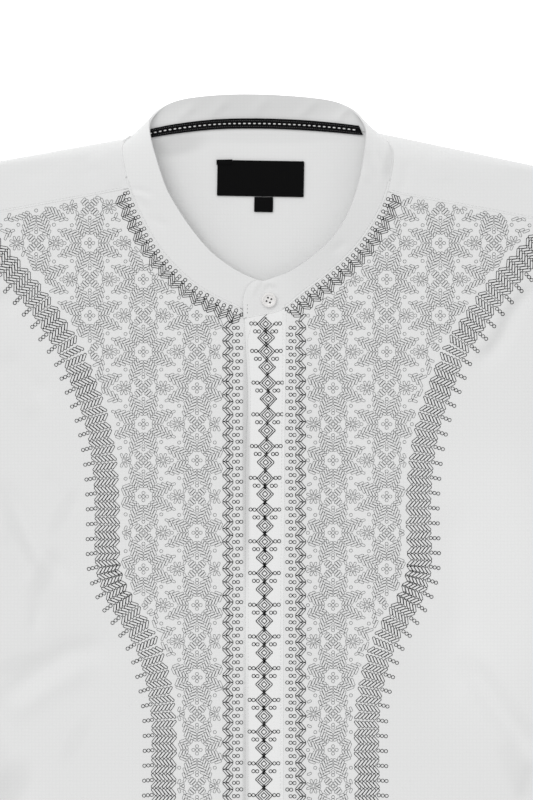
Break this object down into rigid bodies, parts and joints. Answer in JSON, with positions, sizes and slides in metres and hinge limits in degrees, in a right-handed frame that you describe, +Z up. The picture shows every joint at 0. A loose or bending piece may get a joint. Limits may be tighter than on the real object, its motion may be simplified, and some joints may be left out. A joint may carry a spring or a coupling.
{
  "type": "formal shirt",
  "caption": "long-sleeved formal shirt with a band collar and concealed placket, laid flat with its front up, as rigid cloth",
  "frame": {"origin": "middle of the laid shirt on the surface it lies on", "axes": "+Z up off the surface, +Y towards the collar, +X towards the wearer's left sleeve, which is on the right seen from above"},
  "size_m": [1.461, 0.7905, 0.02],
  "materials": {
    "cloth_back": "white cotton with a small woven check",
    "cloth_yoke": "white cotton with a small woven check",
    "cloth_front": "white cotton with grey outline embroidery",
    "cloth_placket": "white cotton with dark grey embroidery",
    "cloth_band": "pressed white cotton, interlined",
    "cloth_sleeve": "white cotton with a small woven check",
    "cloth_cuff": "pressed white cotton, interlined",
    "tape": "black woven tape with a white dashed line",
    "label": "black damask, bare",
    "button": "polished white resin"
  },
  "bodies": {
    "root": {"back_panel": "cloth_back", "yoke": "cloth_yoke", "front_right": "cloth_front", "front_left": "cloth_front", "front_placket": "cloth_placket", "collar_band": "cloth_band", "sleeve_left": "cloth_sleeve", "sleeve_right": "cloth_sleeve", "sleeve_placket_left": "cloth_cuff", "sleeve_placket_right": "cloth_cuff", "cuff_left": "cloth_cuff", "cuff_right": "cloth_cuff", "neck_tape": "tape", "neck_label": "label", "size_tab": "label", "collar_button": "button", "cuff_button_left": "button", "cuff_button_right": "button"}
  },
  "joints": []
}
